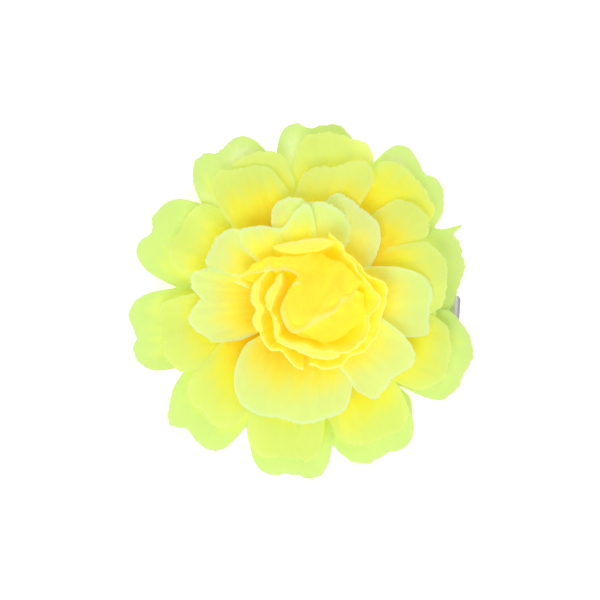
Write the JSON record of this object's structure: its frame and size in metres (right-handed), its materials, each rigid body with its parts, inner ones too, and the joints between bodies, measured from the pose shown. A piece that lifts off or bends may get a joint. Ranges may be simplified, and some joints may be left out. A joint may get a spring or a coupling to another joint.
{
  "type": "flower hair clip",
  "caption": "Sprung toothed steel hair clip with thumb levers, carrying a full fabric peony made of layered die-cut petal sheets threaded on a moulded peg.",
  "frame": {"origin": "on the flower's axis, in the plane of the clip's flat underside", "axes": "+Z out of the flower's face, away from the clip; +X along the clip from its nose to its thumb levers; +Y completes a right-handed frame and runs along the hinge"},
  "size_m": [0.1092, 0.1101, 0.0348],
  "materials": {
    "steel": "plated, satin",
    "spring_wire": "drawn wire",
    "glue": "hot-melt, cloudy",
    "felt": "felt",
    "moulding": "moulded",
    "petal_cloth": "thin woven polyester, heat-cut edges",
    "heart_cloth": "thin woven polyester, heat-cut edges"
  },
  "bodies": {
    "lower_arm": {"clip_lower_arm": "steel"},
    "flower_arm": {"clip_upper_arm": "steel", "hinge_rivet": "steel", "torsion_spring": "spring_wire", "clip_glue": "glue", "felt_backing": "felt", "flower_glue": "glue", "petal_peg": "moulding", "spacer_ring_1": "moulding", "spacer_ring_2": "moulding", "spacer_ring_3": "moulding", "spacer_ring_4": "moulding", "peg_cap": "moulding", "skirt_petals_1": "petal_cloth", "skirt_petals_2": "petal_cloth", "skirt_petals_3": "petal_cloth", "mid_petals_1": "petal_cloth", "mid_petals_2": "petal_cloth", "ruffle_petals_1": "petal_cloth", "ruffle_petals_2": "petal_cloth", "cup_petals_1": "heart_cloth", "cup_petals_2": "heart_cloth", "heart_petals_1": "heart_cloth", "heart_petals_2": "heart_cloth"}
  },
  "joints": [
    {"name": "jaw", "type": "hinge", "parent": "lower_arm", "child": "flower_arm", "pos_m": [0.024, 0, 0.003], "axis": [0, 1, 0], "range_deg": [0, 17], "stiffness_Nm_per_rad": 0.05, "springref_deg": -57.3, "deforming": ["torsion_spring"]}
  ]
}
